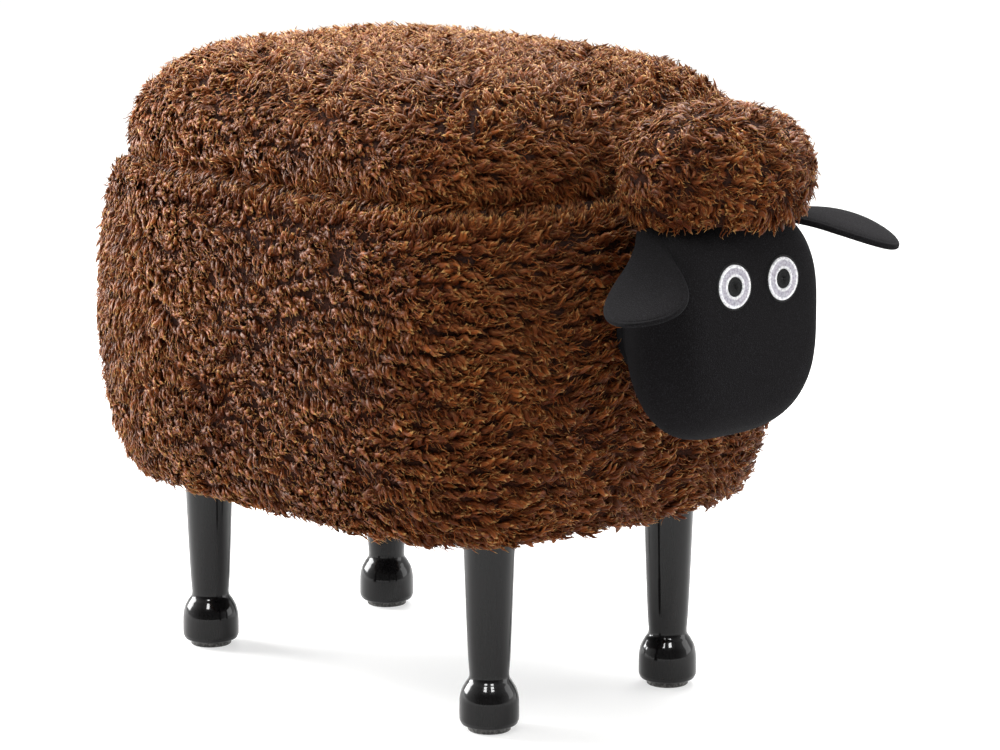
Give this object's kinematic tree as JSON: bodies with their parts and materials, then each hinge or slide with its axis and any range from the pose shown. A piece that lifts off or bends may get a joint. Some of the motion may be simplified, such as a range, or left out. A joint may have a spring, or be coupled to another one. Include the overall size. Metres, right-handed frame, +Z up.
{
  "type": "animal storage footstool",
  "caption": "Sheep-shaped footstool: a fleece-covered storage box with a hinged padded lid, turned legs and a stuffed head with ears and topknot.",
  "frame": {"origin": "on the floor, under the middle of the whole stool with its head", "axes": "+X forwards, towards the head; +Y to the stool's left, the side of the lid hinges; +Z up"},
  "size_m": [0.58, 0.376, 0.4619],
  "materials": {
    "fleece": "matte",
    "felt_black": "matte",
    "lacquer_black": "gloss",
    "plywood": "satin",
    "hardboard": "matte",
    "foam": "matte",
    "wadding": "matte",
    "lining_black": "matte",
    "zinc_steel": "satin",
    "glide_black": "matte",
    "thread_white": "matte",
    "thread_black": "matte"
  },
  "bodies": {
    "stool_body": {"base_panel": "plywood", "wall_shell": "hardboard", "rim_ring": "plywood", "foam_wrap": "foam", "body_cover": "fleece", "storage_lining": "lining_black", "dust_cover": "lining_black", "leg_front_left": "lacquer_black", "leg_front_right": "lacquer_black", "leg_rear_left": "lacquer_black", "leg_rear_right": "lacquer_black", "glide_front_left": "glide_black", "glide_front_right": "glide_black", "glide_rear_left": "glide_black", "glide_rear_right": "glide_black", "leg_bolt_front_left": "zinc_steel", "leg_bolt_front_right": "zinc_steel", "leg_bolt_rear_left": "zinc_steel", "leg_bolt_rear_right": "zinc_steel", "tee_nut_front_left": "zinc_steel", "tee_nut_front_right": "zinc_steel", "tee_nut_rear_left": "zinc_steel", "tee_nut_rear_right": "zinc_steel", "hinge_body_leaf_front": "zinc_steel", "hinge_body_leaf_rear": "zinc_steel", "hinge_pin_front": "zinc_steel", "hinge_pin_rear": "zinc_steel", "hinge_body_screw_front_1": "zinc_steel", "hinge_body_screw_front_2": "zinc_steel", "hinge_body_screw_rear_1": "zinc_steel", "hinge_body_screw_rear_2": "zinc_steel", "head_cover": "felt_black", "head_stuffing": "wadding", "head_board": "plywood", "topknot": "fleece", "ear_right": "felt_black", "ear_left": "felt_black", "head_bolt_left": "zinc_steel", "head_bolt_right": "zinc_steel", "head_washer_left": "zinc_steel", "head_washer_right": "zinc_steel", "head_tee_nut_left": "zinc_steel", "head_tee_nut_right": "zinc_steel", "eye_ring_left": "thread_white", "eye_ring_right": "thread_white", "eye_pupil_left": "thread_black", "eye_pupil_right": "thread_black"},
    "lid": {"lid_cover": "fleece", "lid_foam": "foam", "lid_board": "plywood", "lid_lining": "lining_black", "hinge_lid_leaf_front": "zinc_steel", "hinge_lid_leaf_rear": "zinc_steel", "hinge_lid_screw_front_1": "zinc_steel", "hinge_lid_screw_front_2": "zinc_steel", "hinge_lid_screw_rear_1": "zinc_steel", "hinge_lid_screw_rear_2": "zinc_steel"}
  },
  "joints": [
    {"name": "lid_hinge", "type": "hinge", "parent": "stool_body", "child": "lid", "pos_m": [-0.0578, 0.1663, 0.37415], "axis": [-1, 0, 0], "range_deg": [0, 88]}
  ]
}
